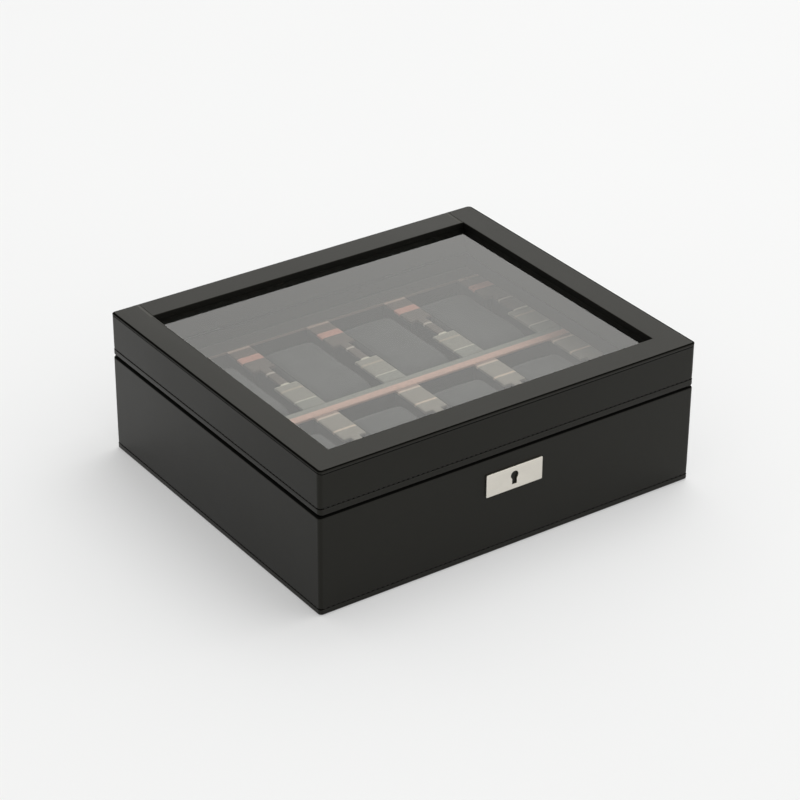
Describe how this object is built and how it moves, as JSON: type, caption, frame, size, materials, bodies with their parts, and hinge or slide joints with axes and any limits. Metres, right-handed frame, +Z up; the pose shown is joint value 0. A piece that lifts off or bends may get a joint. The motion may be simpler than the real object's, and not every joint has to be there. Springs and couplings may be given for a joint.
{
  "type": "watch box",
  "caption": "Low leather-covered watch box with a hinged, framed glass lid, a front lock plate, and a striped fabric tray of notched compartments with lift-out pillows.",
  "frame": {"origin": "middle of the underside, on the surface that the box stands on", "axes": "+X to the right along the front, +Y to the back, +Z up"},
  "size_m": [0.26, 0.2244, 0.0915],
  "materials": {
    "leather": "satin, fine grain",
    "striped_fabric": "woven multi-stripe",
    "pillow_suede": "fine suede",
    "lining": "short suede nap",
    "underside_suede": "suede backing",
    "board": "raw fibreboard",
    "glass": "clear, polished",
    "satin_nickel": "brushed",
    "lock_steel": "plain plated",
    "hinge_steel": "nickel plated"
  },
  "bodies": {
    "base": {"base_front_wall": "board", "base_back_wall": "board", "base_left_wall": "board", "base_right_wall": "board", "base_floor": "board", "base_cover": "leather", "underside_pad": "underside_suede", "base_lining": "lining", "tray_floor": "lining", "front_ledge": "striped_fabric", "rear_ledge": "striped_fabric", "left_ledge": "striped_fabric", "right_ledge": "striped_fabric", "middle_divider": "striped_fabric", "front_divider_1": "striped_fabric", "front_divider_2": "striped_fabric", "front_divider_3": "striped_fabric", "rear_divider_1": "striped_fabric", "rear_divider_2": "striped_fabric", "rear_divider_3": "striped_fabric", "lock_plate": "satin_nickel", "lock_case": "lock_steel", "lock_cover": "lock_steel", "key_post": "lock_steel", "lock_screws": "lock_steel", "left_hinge_base_leaf": "hinge_steel", "left_hinge_pin": "hinge_steel", "right_hinge_base_leaf": "hinge_steel", "right_hinge_pin": "hinge_steel", "hinge_base_screws": "hinge_steel"},
    "lid": {"lid_front_rail": "board", "lid_back_rail": "board", "lid_left_rail": "board", "lid_right_rail": "board", "lid_cover": "leather", "lid_lining": "lining", "glass_pane": "glass", "glass_bead": "lining", "left_hinge_lid_leaf": "hinge_steel", "right_hinge_lid_leaf": "hinge_steel", "hinge_lid_screws": "hinge_steel", "strike_plate": "lock_steel", "strike_screws": "lock_steel"},
    "lock_bolt": {"lock_bolt": "lock_steel"},
    "front_pillow_1": {"front_pillow_1": "pillow_suede"},
    "front_pillow_2": {"front_pillow_2": "pillow_suede"},
    "front_pillow_3": {"front_pillow_3": "pillow_suede"},
    "front_pillow_4": {"front_pillow_4": "pillow_suede"},
    "rear_pillow_1": {"rear_pillow_1": "pillow_suede"},
    "rear_pillow_2": {"rear_pillow_2": "pillow_suede"},
    "rear_pillow_3": {"rear_pillow_3": "pillow_suede"},
    "rear_pillow_4": {"rear_pillow_4": "pillow_suede"}
  },
  "joints": [
    {"name": "lid_hinge", "type": "hinge", "parent": "base", "child": "lid", "pos_m": [0, 0.1106, 0.0634], "axis": [-1, 0, 0], "range_deg": [0, 100]},
    {"name": "bolt_slide", "type": "slide", "parent": "base", "child": "lock_bolt", "axis": [1, 0, 0], "range_m": [0, 0.004]},
    {"name": "front_pillow_1_lift", "type": "slide", "parent": "base", "child": "front_pillow_1", "axis": [0, 0, 1], "range_m": [0, 0.03]},
    {"name": "front_pillow_2_lift", "type": "slide", "parent": "base", "child": "front_pillow_2", "axis": [0, 0, 1], "range_m": [0, 0.03]},
    {"name": "front_pillow_3_lift", "type": "slide", "parent": "base", "child": "front_pillow_3", "axis": [0, 0, 1], "range_m": [0, 0.03]},
    {"name": "front_pillow_4_lift", "type": "slide", "parent": "base", "child": "front_pillow_4", "axis": [0, 0, 1], "range_m": [0, 0.03]},
    {"name": "rear_pillow_1_lift", "type": "slide", "parent": "base", "child": "rear_pillow_1", "axis": [0, 0, 1], "range_m": [0, 0.03]},
    {"name": "rear_pillow_2_lift", "type": "slide", "parent": "base", "child": "rear_pillow_2", "axis": [0, 0, 1], "range_m": [0, 0.03]},
    {"name": "rear_pillow_3_lift", "type": "slide", "parent": "base", "child": "rear_pillow_3", "axis": [0, 0, 1], "range_m": [0, 0.03]},
    {"name": "rear_pillow_4_lift", "type": "slide", "parent": "base", "child": "rear_pillow_4", "axis": [0, 0, 1], "range_m": [0, 0.03]}
  ]
}
